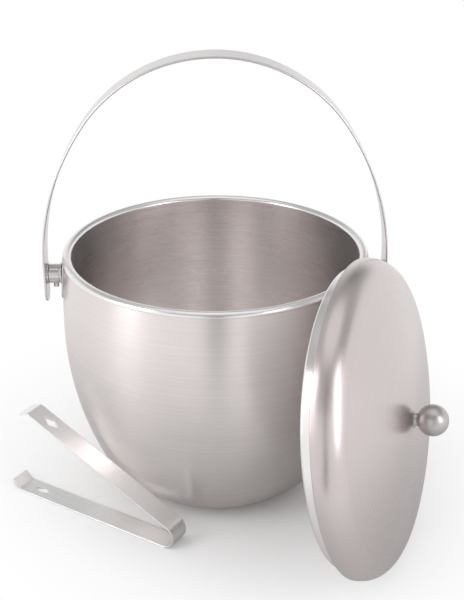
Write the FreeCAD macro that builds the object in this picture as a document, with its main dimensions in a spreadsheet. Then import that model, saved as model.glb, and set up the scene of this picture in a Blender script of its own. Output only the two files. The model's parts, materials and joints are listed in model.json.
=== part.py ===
"""Double-walled steel ice bucket with a strap bail, a loose lid and a pair of tongs.

Origin: the middle of the bucket's flat base, on the surface it stands on. +Z is up, the bail
turns about an axis along X, and the lid and the tongs lie in front of the bucket, towards -Y.
The lid leans on the rim, and the tongs lie on the surface with their arms open.
"""
import FreeCAD, Part
import math
import os
import re
import Sketcher

Vector = FreeCAD.Vector
Placement = FreeCAD.Placement
Rotation = FreeCAD.Rotation

# A length below which an edge counts as level or upright, and the stations that the tongs' arm is
# divided into where its distance from the bowl is worked out.
LEVEL = 0.01
STATIONS = 12

doc = FreeCAD.newDocument("IceBucket")

# ---------------------------------------------------------------- sizes, millimetres and degrees

SIZES = {
    # Outer bowl: a flat base, a round foot, a long side and a slightly drawn-in mouth.
    "rim_height": 172.3,
    "belly_radius": 106.5,
    "belly_drop": 50.8,
    "draw_in": 3.4,
    "base_radius": 44.5,
    "foot_round": 45.0,
    "shell_wall": 0.9,
    "base_ledge": 8.8,
    "base_lap": 6.0,
    # Inner liner, set in from the bowl, and the rolled lip that hooks over the bowl's edge.
    "air_gap": 3.9,
    "liner_wall": 0.8,
    "liner_floor": 14.5,
    "liner_inset": 6.5,
    "liner_ease": 3.0,
    "lip_overhang": 1.9,
    "lip_skirt": 1.0,
    "lip_crown": 2.5,
    "lip_tuck": 1.5,
    # Lugs: a plate on the wall, a turned post with a bore, a nut in the air gap, a set screw.
    "pivot_drop": 15.3,
    "plate_wall": 1.2,
    "plate_up": 10.0,
    "plate_down": 17.0,
    "plate_width": 15.0,
    "plate_corner": 4.0,
    "post_radius": 6.75,
    "post_reach": 8.9,
    "post_flange_out": 0.75,
    "post_flange": 1.1,
    "stud_radius": 2.5,
    "bore_depth": 6.6,
    "nut_flats": 8.0,
    "nut_height": 2.8,
    "stud_end": 0.3,
    "set_screw_radius": 1.3,
    "set_screw_head_radius": 1.9,
    "set_screw_head": 3.0,
    "set_screw_out": 4.2,
    # Bail: a flat strap bent to a round crown, long sides and straight tails, on two pins.
    "bail_rise": 151.7,
    "bail_straight": 8.0,
    "bail_flatness": 12.4,
    "bail_tail": 20.0,
    "strap_width": 20.0,
    "strap_thickness": 1.5,
    "pin_radius": 3.0,
    "pin_groove_radius": 2.3,
    "pin_groove_play": 0.3,
    "pin_end_play": 0.3,
    "pin_clearance": 0.05,
    "washer_radius": 7.25,
    "washer_thickness": 1.46,
    "washer_play": 0.1,
    # Lid: a domed cover with a hemmed edge over a shallow plug pan, and a ball knob.
    "lid_inset": 3.5,
    "lid_rise": 32.0,
    "lid_side": 3.0,
    "lid_shoulder": 16.0,
    "lid_wall": 0.8,
    "hem_wall": 1.8,
    "plug_play": 2.3,
    "plug_depth": 8.0,
    "plug_corner": 2.0,
    "plug_wall": 0.6,
    "knob_radius": 10.0,
    "neck_radius": 4.0,
    "neck_flare": 5.5,
    "neck_height": 2.6,
    "screw_radius": 2.5,
    "screw_reach": 9.0,
    "screw_head_radius": 4.5,
    "screw_head": 2.6,
    "knob_washer_radius": 8.0,
    "knob_washer": 1.0,
    # The lid's stance: its foot on the surface, its pan against the rim.
    "lid_bearing": -24.0,
    "lid_lean": 10.5,
    "lid_bail_gap": 5.4,
    # Tongs: two arms that meet at the middle of a round bend, with turned-in claws.
    "arm_length": 126.5,
    "arm_width": 16.0,
    "arm_wall": 1.0,
    "bend_radius": 8.5,
    "opening_angle": 24.0,
    "claw_length": 8.5,
    "claw_angle": 42.0,
    "slot_back": 16.0,
    "slot_half_length": 6.4,
    "slot_half_width": 3.4,
    "tongs_azimuth": -105,
    "tongs_stand_off": 2.5,
    "tongs_bearing": 147,
    # Clearances.
    "seat_gap": 0.05,
    "curl_gap": 0.25,
    "lean_gap": 0.3,
    "split_gap": 0.4,
}

sheet = doc.addObject("Spreadsheet::Sheet", "Sizes")
for row, (alias, number) in enumerate(SIZES.items(), start=1):
    sheet.set(f"A{row}", alias)
    sheet.set(f"B{row}", str(number))
    sheet.setAlias(f"B{row}", alias)
doc.recompute()

WORD = re.compile(r"[a-z_]+")


def bound(expression):
    """The expression with each size written as a reference to its cell."""
    return WORD.sub(lambda word: "Sizes." + word[0] if word[0] in SIZES else word[0], expression)


def value(expression):
    """The number that an expression in the sizes gives now."""
    return float(sheet.evalExpression(bound(expression)))


# ---------------------------------------------------------------- sizes that follow from others

MOUTH_RADIUS = "(belly_radius - draw_in)"
BELLY_HEIGHT = "(rim_height - belly_drop)"
SHELL_TOP = "(rim_height + lip_tuck)"
LINER_RADIUS = f"({MOUTH_RADIUS} - shell_wall - air_gap)"
LIP_RADIUS = f"({MOUTH_RADIUS} + lip_overhang)"
PIVOT_HEIGHT = "(rim_height - pivot_drop)"
LID_RADIUS = f"({LIP_RADIUS} - lid_inset)"
PLUG_RADIUS = f"({LINER_RADIUS} - plug_play)"
ALL_ACROSS = "4 * belly_radius"

# ---------------------------------------------------------------- curves as expressions


class TangentCurve:
    """Two tangent arcs, from a level start at (flat_x, flat_z) to an upright end at (side_x, side_z).

    One arc's radius is given. The other follows from the two ends, because arcs that meet in a
    smooth joint have their centres in line with it. A positive offset moves the curve inwards.
    """

    def __init__(self, flat_x, flat_z, side_x, side_z, rising, flat_radius=None, side_radius=None):
        across = f"({side_x} - ({flat_x}))"
        along = f"({side_z} - ({flat_z}))" if rising else f"({flat_z} - ({side_z}))"
        self.sign = "+" if rising else "-"
        if flat_radius:
            top = f"({across}^2 + ({along} - {flat_radius})^2 - {flat_radius}^2)"
            side_radius = f"({top} / (2 * ({across} - {flat_radius})))"
        else:
            top = f"({along}^2 + ({across} - {side_radius})^2 - {side_radius}^2)"
            flat_radius = f"({top} / (2 * ({along} - {side_radius})))"
        self.flat_end = (flat_x, flat_z)
        self.side_end = (side_x, side_z)
        self.flat_radius = flat_radius
        self.side_radius = side_radius
        self.flat_centre = (flat_x, f"({flat_z} {self.sign} {flat_radius})")
        self.side_centre = (f"({side_x} - {side_radius})", side_z)

    def flat(self, offset="0"):
        return (self.flat_end[0], f"({self.flat_end[1]} {self.sign} ({offset}))")

    def side(self, offset="0"):
        return (f"({self.side_end[0]} - ({offset}))", self.side_end[1])

    def joint(self, offset="0"):
        share = f"(({self.flat_radius} - ({offset})) / ({self.side_radius} - {self.flat_radius}))"
        return tuple(
            f"({flat} + ({flat} - {side}) * {share})"
            for flat, side in zip(self.flat_centre, self.side_centre)
        )

    def radii(self, offset="0"):
        return (f"({self.flat_radius} - ({offset}))", f"({self.side_radius} - ({offset}))")


BOWL = TangentCurve("base_radius", "0", "belly_radius", BELLY_HEIGHT, True, flat_radius="foot_round")
LINER = TangentCurve("(base_radius - liner_inset)", "liner_floor", LINER_RADIUS, BELLY_HEIGHT, True,
                     flat_radius="(foot_round + liner_ease)")
MOUTH_ARC = f"((({SHELL_TOP} - {BELLY_HEIGHT})^2 + draw_in^2) / (2 * draw_in))"


def wall_at(height, offset="0"):
    """The bowl's radius at a height above the belly, moved inwards by the offset."""
    reach = f"sqrt(({MOUTH_ARC} - ({offset}))^2 - ({height} - {BELLY_HEIGHT})^2)"
    return f"(belly_radius - {MOUTH_ARC} + {reach})"


def arc_over(chord, crown):
    """The radius of an arc that rises by its crown over the middle of its chord."""
    return f"((({chord})^2 / 4 + ({crown})^2) / (2 * ({crown})))"


# ---------------------------------------------------------------- sketch and feature helpers

NODES = []


def node(piece, label, placement=None):
    """Names a sub-part, places it, and lists it for the checks and the files."""
    piece.Label = label
    if placement is not None:
        piece.Placement = placement
    NODES.append(piece)
    return piece


def new_body(label):
    return doc.addObject("PartDesign::Body", label)


def new_sketch(body, plane):
    """A sketch on one of the body's own origin planes."""
    support = next(item for item in body.Origin.OriginFeatures if item.Role == plane)
    sketch = body.newObject("Sketcher::SketchObject", body.Name + "_sketch")
    sketch.AttachmentSupport = [(support, "")]
    sketch.MapMode = "FlatFace"
    return sketch


def constrain(sketch, kind, references, expression):
    """A constraint whose size is bound to an expression."""
    index = sketch.addConstraint(Sketcher.Constraint(kind, *references, value(expression)))
    sketch.setExpression(f"Constraints[{index}]", bound(expression))


def arc_between(start, end, radius, turn):
    """The short arc from start to end; turn is 1 where it runs anticlockwise, -1 where clockwise."""
    chord = end - start
    height = math.sqrt(max(radius ** 2 - (chord.Length / 2) ** 2, 0.0))
    left = Vector(-chord.y, chord.x, 0).normalize()
    centre = (start + end) / 2 + left * height * turn
    first, last = (start, end) if turn > 0 else (end, start)
    angles = [math.atan2(point.y - centre.y, point.x - centre.x) for point in (first, last)]
    return Part.ArcOfCircle(Part.Circle(centre, Vector(0, 0, 1), radius), *angles)


def draw_outline(sketch, outline):
    """A closed outline of corners (x, y) or (x, y, radius, turn), where the last two make the edge
    that leaves the corner an arc. Every corner and radius is bound to its expression."""
    corners = [Vector(value(corner[0]), value(corner[1]), 0) for corner in outline]
    ends = []
    for index, corner in enumerate(outline):
        start, end = corners[index], corners[(index + 1) % len(corners)]
        if len(corner) == 4:
            edge = sketch.addGeometry(arc_between(start, end, value(corner[2]), corner[3]), False)
            ends.append((edge, 1, 2) if corner[3] > 0 else (edge, 2, 1))
        else:
            edge = sketch.addGeometry(Part.LineSegment(start, end), False)
            ends.append((edge, 1, 2))
    for index, (edge, first, last) in enumerate(ends):
        following, following_first, _ = ends[(index + 1) % len(ends)]
        sketch.addConstraint(Sketcher.Constraint("Coincident", edge, last, following, following_first))
    for (edge, first, last), corner in zip(ends, outline):
        for kind, axis, expression in (("DistanceX", -2, corner[0]), ("DistanceY", -1, corner[1])):
            if expression == "0":
                sketch.addConstraint(Sketcher.Constraint("PointOnObject", edge, first, axis))
            else:
                constrain(sketch, kind, (-1, 1, edge, first), expression)
        if len(corner) == 4:
            constrain(sketch, "Radius", (edge,), corner[2])


def turned(label, outline, angle="360"):
    """A body turned about its Z axis from an outline of radius and height."""
    body = new_body(label)
    sketch = new_sketch(body, "XZ_Plane")
    draw_outline(sketch, outline)
    turn = body.newObject("PartDesign::Revolution", label + "_turn")
    turn.Profile = sketch
    turn.ReferenceAxis = (sketch, ["V_Axis"])
    if angle != "360":
        turn.Midplane = True
        turn.setExpression("Angle", bound(angle))
    return body


def extruded(label, plane, outline, width):
    """A body extruded evenly to both sides of a plane."""
    body = new_body(label)
    sketch = new_sketch(body, plane)
    draw_outline(sketch, outline)
    pad = body.newObject("PartDesign::Pad", label + "_pad")
    pad.Profile = sketch
    pad.Midplane = True
    pad.setExpression("Length", bound(width))
    return body


def cut_through(body, draw, plane, length, one_way=False):
    """Cuts a sketched shape out of the body to both sides of a plane, or only against the way the
    sketch faces, and checks that it did."""
    doc.recompute()
    before = body.Shape.Volume
    sketch = new_sketch(body, plane)
    draw(sketch)
    pocket = body.newObject("PartDesign::Pocket", body.Name + "_cut")
    pocket.Profile = sketch
    pocket.Midplane = not one_way
    pocket.Reversed = one_way
    pocket.setExpression("Length", bound(length))
    doc.recompute()
    if body.Shape.Volume >= before:
        raise RuntimeError(f"{body.Name}: the cut removed nothing")


def circle_at(x, y, radius):
    """Draws one circle whose centre and radius are bound to their expressions."""
    def draw(sketch):
        ring = Part.Circle(Vector(value(x), value(y), 0), Vector(0, 0, 1), value(radius))
        edge = sketch.addGeometry(ring, False)
        for kind, axis, expression in (("DistanceX", -2, x), ("DistanceY", -1, y)):
            if expression == "0":
                sketch.addConstraint(Sketcher.Constraint("PointOnObject", edge, 3, axis))
            else:
                constrain(sketch, kind, (-1, 1, edge, 3), expression)
        constrain(sketch, "Radius", (edge,), radius)
    return draw


def round_edges(body, radius, wanted):
    """Rounds the edges of the body that the test picks."""
    doc.recompute()
    base = body.Tip
    names = [f"Edge{number}" for number, edge in enumerate(base.Shape.Edges, start=1) if wanted(edge)]
    fillet = body.newObject("PartDesign::Fillet", body.Name + "_round")
    fillet.Base = (base, names)
    fillet.setExpression("Radius", bound(radius))


def pair(label, make):
    """A node of two equal pieces, each placed at its lug from its place on the pivot axis."""
    members = []
    for side, placement in LUGS.items():
        piece = make(f"{label}_{side}")
        piece.Placement = placement * piece.Placement
        members.append(piece)
    group = doc.addObject("Part::Compound", label)
    group.Links = members
    return node(group, label)


# ---------------------------------------------------------------- bucket


def make_outer_shell():
    """The drawn outer bowl, with a round opening in its base and a hole for each lug's stud."""
    centre_x = f"(belly_radius - {MOUTH_ARC})"
    share = f"({MOUTH_ARC} - shell_wall) / {MOUTH_ARC}"
    rim_inner = f"({centre_x} + ({MOUTH_RADIUS} - {centre_x}) * {share})"
    inner_top = f"({BELLY_HEIGHT} + ({SHELL_TOP} - {BELLY_HEIGHT}) * {share})"
    foot, side = BOWL.radii()
    foot_inner, side_inner = BOWL.radii("shell_wall")
    body = turned("outer_shell", [
        ("base_radius - base_ledge", "0"),
        (*BOWL.flat(), foot, 1),
        (*BOWL.joint(), side, 1),
        (*BOWL.side(), MOUTH_ARC, 1),
        (MOUTH_RADIUS, SHELL_TOP),
        (rim_inner, inner_top, f"({MOUTH_ARC} - shell_wall)", -1),
        (*BOWL.side("shell_wall"), side_inner, -1),
        (*BOWL.joint("shell_wall"), foot_inner, -1),
        BOWL.flat("shell_wall"),
        ("base_radius - base_ledge", "shell_wall"),
    ])
    hole = circle_at("0", PIVOT_HEIGHT, "stud_radius + seat_gap")
    cut_through(body, hole, "YZ_Plane", ALL_ACROSS)
    node(body, "outer_shell")


def make_base_disc():
    """The disc that closes the bowl's base: it laps the ledge inside and is flush below."""
    opening = "base_radius - base_ledge - seat_gap"
    lap = "base_radius - base_ledge + base_lap"
    node(turned("base_disc", [
        ("0", "0"),
        (opening, "0"),
        (opening, "shell_wall"),
        (lap, "shell_wall"),
        (lap, "2 * shell_wall"),
        ("0", "2 * shell_wall"),
    ]), "base_disc")


def make_inner_liner():
    """The drawn inner bowl. Its edge is rolled out into the lip, whose curl meets the outer bowl."""
    lip_foot = "(rim_height + lip_skirt)"
    curl = f"({MOUTH_RADIUS} + curl_gap)"
    roll = arc_over(f"{LIP_RADIUS} - {LINER_RADIUS}", "lip_crown")
    roll_inner = arc_over(f"{LIP_RADIUS} - {LINER_RADIUS} - 2 * liner_wall", "lip_crown - liner_wall")
    foot, side = LINER.radii()
    foot_outer, side_outer = LINER.radii("-liner_wall")
    node(turned("inner_liner", [
        ("0", "liner_floor"),
        (*LINER.flat(), foot, 1),
        (*LINER.joint(), side, 1),
        LINER.side(),
        (LINER_RADIUS, lip_foot, roll, -1),
        (LIP_RADIUS, lip_foot),
        (LIP_RADIUS, "rim_height"),
        (curl, "rim_height"),
        (curl, "rim_height + liner_wall"),
        (f"{LIP_RADIUS} - liner_wall", "rim_height + liner_wall"),
        (f"{LIP_RADIUS} - liner_wall", lip_foot, roll_inner, 1),
        (f"{LINER_RADIUS} + liner_wall", lip_foot),
        (*LINER.side("-liner_wall"), side_outer, -1),
        (*LINER.joint("-liner_wall"), foot_outer, -1),
        LINER.flat("-liner_wall"),
        ("0", "liner_floor - liner_wall"),
    ]), "inner_liner")


# ---------------------------------------------------------------- lugs

# A lug's parts are turned about the pivot axis: local +Z points out from the bowl, local +X down.
# They start at the plate's face at the pivot. The wall leans, so the post's flange reaches in
# behind that point and is cut to the plate, and the nut stands off by the lean across it.
PLATE_FACE = wall_at(PIVOT_HEIGHT, "-(seat_gap + plate_wall)")
NUT_TOP = f"({PIVOT_HEIGHT} + nut_flats / sqrt(3))"
NUT_SEAT = f"({PLATE_FACE} - {wall_at(NUT_TOP, 'shell_wall')} + 2 * seat_gap)"
SCREW_PLACE = "(post_reach - set_screw_out)"
STRAP_INSIDE = "(post_reach + washer_play + washer_thickness)"
OUTWARDS = Rotation(Vector(0, 1, 0), 90)
HALF_TURN = Placement(Vector(0, 0, 0), Rotation(Vector(0, 0, 1), 180))
RIGHT_LUG = Placement(Vector(value(PLATE_FACE), 0, value(PIVOT_HEIGHT)), OUTWARDS)
LUGS = {"right": RIGHT_LUG, "left": HALF_TURN * RIGHT_LUG}


def make_lug_plate(side, placement):
    """The plate that spreads the lug's load: a patch of sheet bent to the bowl's wall."""
    top, bottom = f"({PIVOT_HEIGHT} + plate_up)", f"({PIVOT_HEIGHT} - plate_down)"
    near, far = "-seat_gap", "-(seat_gap + plate_wall)"
    name = "lug_plate_" + side
    angle = "plate_width / belly_radius * 180 / pi"
    body = turned(name, [
        (wall_at(bottom, far), bottom, f"({MOUTH_ARC} + seat_gap + plate_wall)", 1),
        (wall_at(top, far), top),
        (wall_at(top, near), top, f"({MOUTH_ARC} + seat_gap)", -1),
        (wall_at(bottom, near), bottom),
    ], angle)
    thin = value("plate_wall * 1.5")
    round_edges(body, "plate_corner", lambda edge: edge.Length < thin and edge.BoundBox.ZLength < LEVEL)
    cut_through(body, circle_at("0", PIVOT_HEIGHT, "stud_radius + seat_gap"), "YZ_Plane", ALL_ACROSS)
    node(body, name, placement)


def make_lug_post(side):
    """The turned post: a stud through plate and bowl, a flange cut to the plate, and a barrel with
    a blind bore for the pin and a hole for the set screw."""
    name = "lug_post_" + side
    bore = "pin_radius + pin_clearance"
    flange_radius = "post_radius + post_flange_out"
    stud_end = f"-({NUT_SEAT} + nut_height + stud_end)"
    flange_back = "-plate_wall"
    body = turned(name + "_blank", [
        ("0", stud_end),
        ("stud_radius", stud_end),
        ("stud_radius", flange_back),
        (flange_radius, flange_back),
        (flange_radius, "post_flange"),
        ("post_radius", "post_flange"),
        ("post_radius", "post_reach"),
        (bore, "post_reach"),
        (bore, "post_reach - bore_depth"),
        ("0", "post_reach - bore_depth"),
    ])
    screw_hole = circle_at("0", SCREW_PLACE, "set_screw_radius")
    cut_through(body, screw_hole, "YZ_Plane", "2 * post_radius", one_way=True)
    body.Placement = LUGS[side]
    far = "-(2 * seat_gap + plate_wall)"
    low, high = f"({PIVOT_HEIGHT} - 2 * post_radius)", f"({PIVOT_HEIGHT} + 2 * post_radius)"
    form = turned(name + "_form", [
        ("post_radius", low),
        (wall_at(low, far), low, f"({MOUTH_ARC} + 2 * seat_gap + plate_wall)", 1),
        (wall_at(high, far), high),
        ("post_radius", high),
    ])
    cut_through(form, circle_at("0", PIVOT_HEIGHT, "stud_radius"), "YZ_Plane", ALL_ACROSS)
    post = doc.addObject("Part::Cut", name)
    post.Base = body
    post.Tool = form
    node(post, name)


def make_lug_nut(name):
    """A hexagon nut on the stud, against the bowl's inside, in the air gap between the walls."""
    back = f"({NUT_SEAT} + nut_height)"
    blank = doc.addObject("Part::Prism", name + "_blank")
    blank.Polygon = 6
    blank.setExpression("Circumradius", bound("nut_flats / sqrt(3)"))
    blank.setExpression("Height", bound("nut_height"))
    hole = doc.addObject("Part::Cylinder", name + "_hole")
    hole.setExpression("Radius", bound("stud_radius + seat_gap / 2"))
    hole.setExpression("Height", bound("nut_height"))
    for tool in (blank, hole):
        tool.setExpression("Placement.Base.z", bound(f"-{back}"))
    nut = doc.addObject("Part::Cut", name)
    nut.Base = blank
    nut.Tool = hole
    return nut


def make_set_screw(name):
    """The screw that keeps the pin in: its tip stands in the pin's groove, its head below."""
    tip = "(pin_groove_radius + 3 * pin_clearance)"
    post_edge = "(post_radius + seat_gap)"
    body = turned(name, [
        ("0", tip),
        ("set_screw_radius - seat_gap / 2", tip),
        ("set_screw_radius - seat_gap / 2", post_edge),
        ("set_screw_head_radius", post_edge),
        ("set_screw_head_radius", "post_radius + set_screw_head"),
        ("0", "post_radius + set_screw_head"),
    ])
    body.Placement = Placement(Vector(0, 0, value(SCREW_PLACE)), OUTWARDS)
    return body


# ---------------------------------------------------------------- bail

HALF_SPAN = f"({PLATE_FACE} + {STRAP_INSIDE} + strap_thickness / 2)"
BAIL = TangentCurve("0", f"({PIVOT_HEIGHT} + bail_rise)", HALF_SPAN, f"({PIVOT_HEIGHT} + bail_straight)",
                    False, flat_radius=f"({HALF_SPAN} - bail_flatness)")


def make_bail_strap():
    """The strap: a crown arc and two side arcs that run into straight tails with round ends."""
    half = "strap_thickness / 2"
    crown_outer, side_outer = BAIL.radii("-" + half)
    crown_inner, side_inner = BAIL.radii(half)
    tail = f"({PIVOT_HEIGHT} - bail_tail)"

    def left(point):
        return ("-" + point[0], point[1])

    inside, outside = (BAIL.side(half)[0], tail), (BAIL.side("-" + half)[0], tail)
    body = extruded("bail_strap", "XZ_Plane", [
        left(outside),
        left(inside),
        (*left(BAIL.side(half)), side_inner, -1),
        (*left(BAIL.joint(half)), crown_inner, -1),
        (*BAIL.joint(half), side_inner, -1),
        BAIL.side(half),
        inside,
        outside,
        (*BAIL.side("-" + half), side_outer, 1),
        (*BAIL.joint("-" + half), crown_outer, 1),
        (*left(BAIL.joint("-" + half)), side_outer, 1),
        left(BAIL.side("-" + half)),
    ], "strap_width")
    foot = value(tail) + LEVEL
    round_edges(body, "strap_width / 2 - seat_gap",
                lambda edge: edge.BoundBox.ZMax < foot and edge.BoundBox.YLength < LEVEL)
    pin_hole = circle_at("0", PIVOT_HEIGHT, "pin_radius + seat_gap / 2")
    cut_through(body, pin_hole, "YZ_Plane", ALL_ACROSS)
    node(body, "bail_strap")


def make_pivot_pin(name):
    """A pin riveted flush in the strap, with a groove for the set screw's tip."""
    end = "post_reach - bore_depth + pin_end_play"
    groove_low = f"{SCREW_PLACE} - set_screw_radius - pin_groove_play"
    groove_high = f"{SCREW_PLACE} + set_screw_radius + pin_groove_play"
    flush = f"{STRAP_INSIDE} + strap_thickness"
    return turned(name, [
        ("0", end),
        ("pin_radius", end),
        ("pin_radius", groove_low),
        ("pin_groove_radius", groove_low),
        ("pin_groove_radius", groove_high),
        ("pin_radius", groove_high),
        ("pin_radius", flush),
        ("0", flush),
    ])


def make_bail_washer(name):
    """The thick washer on the pin, between the strap and the post."""
    low = "post_reach + washer_play"
    return turned(name, [
        ("pin_radius + seat_gap", low),
        ("washer_radius", low),
        ("washer_radius", STRAP_INSIDE),
        ("pin_radius + seat_gap", STRAP_INSIDE),
    ])


# ---------------------------------------------------------------- lid

DOME = TangentCurve("0", "lid_rise", LID_RADIUS, "lid_side", False, side_radius="lid_shoulder")


def crown_at(radius, offset="0"):
    """The dome's height at a radius on its crown, moved inwards by the offset."""
    return f"(lid_rise - {DOME.flat_radius} + sqrt(({DOME.flat_radius} - ({offset}))^2 - ({radius})^2))"


def lid_placement():
    """The lid stands on the low edge of its hem and leans its pan on the rim's outer corner. It
    stands so far to the side that the pan passes the foot of the bail's strap."""
    lean, bearing = math.radians(value("lid_lean")), math.radians(value("lid_bearing"))
    height = value(LID_RADIUS) * math.cos(lean)
    rim_corner = value(LIP_RADIUS) * math.cos(lean) + value("rim_height + lip_skirt") * math.sin(lean)
    face = rim_corner + value("lean_gap + plug_depth") - height * math.sin(lean)
    ahead = face / math.cos(lean)
    above_middle = value(f"{PIVOT_HEIGHT} - bail_tail") / math.cos(lean) - value(LID_RADIUS)
    pan_edge = math.sqrt(value(PLUG_RADIUS) ** 2 - max(above_middle, 0.0) ** 2)
    strap_edge = value(HALF_SPAN) * math.sin(-bearing) - value("strap_width / 2") * math.cos(bearing)
    aside = pan_edge - strap_edge + value("lid_bail_gap")
    place = Vector(
        ahead * math.cos(bearing) + aside * math.sin(bearing),
        ahead * math.sin(bearing) - aside * math.cos(bearing),
        height,
    )
    upright = Rotation(Vector(0, 1, 0), 90 - value("lid_lean"))
    return Placement(place, Rotation(Vector(0, 0, 1), value("lid_bearing")) * upright)


LID = lid_placement()


def make_lid_dome():
    """The domed cover. Its edge is folded back on itself into a thicker hem."""
    crown, shoulder = DOME.radii()
    crown_inner, shoulder_inner = DOME.radii("lid_wall")
    bore = "screw_radius + seat_gap"
    hem_inner = f"({LID_RADIUS} - hem_wall)"
    node(turned("lid_dome", [
        (LID_RADIUS, "0"),
        (*DOME.side(), shoulder, 1),
        (*DOME.joint(), crown, 1),
        (bore, crown_at(bore)),
        (bore, crown_at(bore, "lid_wall"), crown_inner, -1),
        (*DOME.joint("lid_wall"), shoulder_inner, -1),
        DOME.side("lid_wall"),
        (hem_inner, "lid_side"),
        (hem_inner, "0"),
    ]), "lid_dome", LID)


def make_lid_pan():
    """The shallow pan under the dome: its flange sits inside the hem, its wall plugs the mouth."""
    flange = f"({LID_RADIUS} - hem_wall - seat_gap)"
    inner = f"({PLUG_RADIUS} - plug_wall)"
    node(turned("lid_pan", [
        ("0", "-plug_depth"),
        (f"{PLUG_RADIUS} - plug_corner", "-plug_depth", "plug_corner", 1),
        (PLUG_RADIUS, "plug_corner - plug_depth"),
        (PLUG_RADIUS, "seat_gap"),
        (flange, "seat_gap"),
        (flange, "seat_gap + plug_wall"),
        (inner, "seat_gap + plug_wall"),
        (inner, "plug_corner - plug_depth", "plug_corner - plug_wall", -1),
        (f"{PLUG_RADIUS} - plug_corner", "plug_wall - plug_depth"),
        ("0", "plug_wall - plug_depth"),
    ]), "lid_pan", LID)


def make_knob():
    """The knob stack, from inside to outside: screw, washer, neck and ball."""
    neck_top = "(lid_rise + neck_height)"
    bore = "screw_radius + seat_gap"
    ball_centre = f"({neck_top} + sqrt(knob_radius^2 - neck_radius^2))"
    screw_end = f"({neck_top} + screw_reach)"
    washer_low = f"({crown_at('knob_washer_radius', 'lid_wall')} - seat_gap - knob_washer)"
    node(turned("knob_neck", [
        (bore, "lid_rise"),
        ("neck_flare", "lid_rise"),
        ("neck_radius", "lid_rise + neck_height / 2"),
        ("neck_radius", neck_top),
        (bore, neck_top),
    ]), "knob_neck", LID)
    node(turned("knob_ball", [
        (bore, neck_top),
        ("neck_radius", neck_top, "knob_radius", 1),
        ("knob_radius", ball_centre, "knob_radius", 1),
        ("0", f"{ball_centre} + knob_radius"),
        ("0", f"{screw_end} + seat_gap"),
        (bore, f"{screw_end} + seat_gap"),
    ]), "knob_ball", LID)
    node(turned("knob_washer", [
        (bore, washer_low),
        ("knob_washer_radius", washer_low),
        ("knob_washer_radius", f"{washer_low} + knob_washer"),
        (bore, f"{washer_low} + knob_washer"),
    ]), "knob_washer", LID)
    node(turned("knob_screw", [
        ("0", f"{washer_low} - screw_head"),
        ("screw_head_radius", f"{washer_low} - screw_head"),
        ("screw_head_radius", washer_low),
        ("screw_radius", washer_low),
        ("screw_radius", screw_end),
        ("0", screw_end),
    ]), "knob_screw", LID)


# ---------------------------------------------------------------- tongs


def make_tongs_arm(label, placement):
    """One arm, straight along +X from the bend. The origin is the bend's outermost point, in the
    middle of the strip, where the other arm meets it."""
    half_open = "(opening_angle / 2)"
    cut = "(180 + opening_angle / 2 + split_gap / 2 / bend_radius * 180 / pi)"
    centre = (f"bend_radius * cos({half_open})", f"bend_radius * sin({half_open})")
    middle = f"({centre[1]} - bend_radius)"
    fold = f"({centre[0]} + arm_length)"
    half = "(arm_wall / 2)"
    mitre = f"({half} * tan(claw_angle / 2))"

    def on_bend(radius, angle):
        return (f"{centre[0]} + {radius} * cos({angle})", f"{centre[1]} + {radius} * sin({angle})")

    def on_claw(across):
        return (f"{fold} + claw_length * cos(claw_angle) {across} {half} * sin(claw_angle)",
                f"{middle} + claw_length * sin(claw_angle) - (0 {across} {half} * cos(claw_angle))")

    outer, inner = f"(bend_radius + {half})", f"(bend_radius - {half})"
    body = extruded(label, "XZ_Plane", [
        (*on_bend(outer, cut), outer, 1),
        (centre[0], f"{middle} - {half}"),
        (f"{fold} + {mitre}", f"{middle} - {half}"),
        on_claw("+"),
        on_claw("-"),
        (f"{fold} - {mitre}", f"{middle} + {half}"),
        (centre[0], f"{middle} + {half}", inner, -1),
        on_bend(inner, cut),
    ], "arm_width")
    slot_middle = f"({fold} - slot_back)"
    cut_through(body, lambda sketch: draw_outline(sketch, [
        (f"{slot_middle} - slot_half_length", "0"),
        (slot_middle, "-slot_half_width"),
        (f"{slot_middle} + slot_half_length", "0"),
        (slot_middle, "slot_half_width"),
    ]), "XY_Plane", "8 * bend_radius")
    node(body, label, placement)


def bowl_radius(height):
    """The bowl's outer radius at a height below the belly."""
    on_foot = height < value(BOWL.joint()[1])
    centre = BOWL.flat_centre if on_foot else BOWL.side_centre
    radius = value(BOWL.flat_radius if on_foot else BOWL.side_radius)
    return value(centre[0]) + math.sqrt(radius ** 2 - (height - value(centre[1])) ** 2)


def tongs_place():
    """The bend lies on its azimuth from the bucket's axis, just so far out that the upper arm's near
    edge stands off from the bowl at each of a row of stations along the arm."""
    azimuth, bearing, slope = (math.radians(value(angle)) for angle in
                               ("tongs_azimuth", "tongs_bearing", "opening_angle"))
    out = Vector(math.cos(azimuth), math.sin(azimuth), 0)
    along = Vector(math.cos(bearing), math.sin(bearing), 0)
    near_edge = along.cross(Vector(0, 0, 1)) * value("arm_width / 2")
    height = value("bend_radius * (1 - sin(opening_angle / 2)) + arm_wall / 2")
    bend_end = value("bend_radius * (cos(opening_angle / 2) - sin(opening_angle))")
    bend_top = height + value("bend_radius * (sin(opening_angle / 2) + cos(opening_angle))")
    distance = 0.0
    for station in range(STATIONS + 1):
        reach = value("arm_length") * station / STATIONS
        edge = along * (bend_end + reach * math.cos(slope)) + near_edge
        clear = bowl_radius(bend_top + reach * math.sin(slope)) + value("tongs_stand_off")
        inwards = out.dot(edge)
        room = inwards ** 2 - edge.Length ** 2 + clear ** 2
        if room > 0:
            distance = max(distance, math.sqrt(room) - inwards)
    return out * distance + Vector(0, 0, height)


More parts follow.
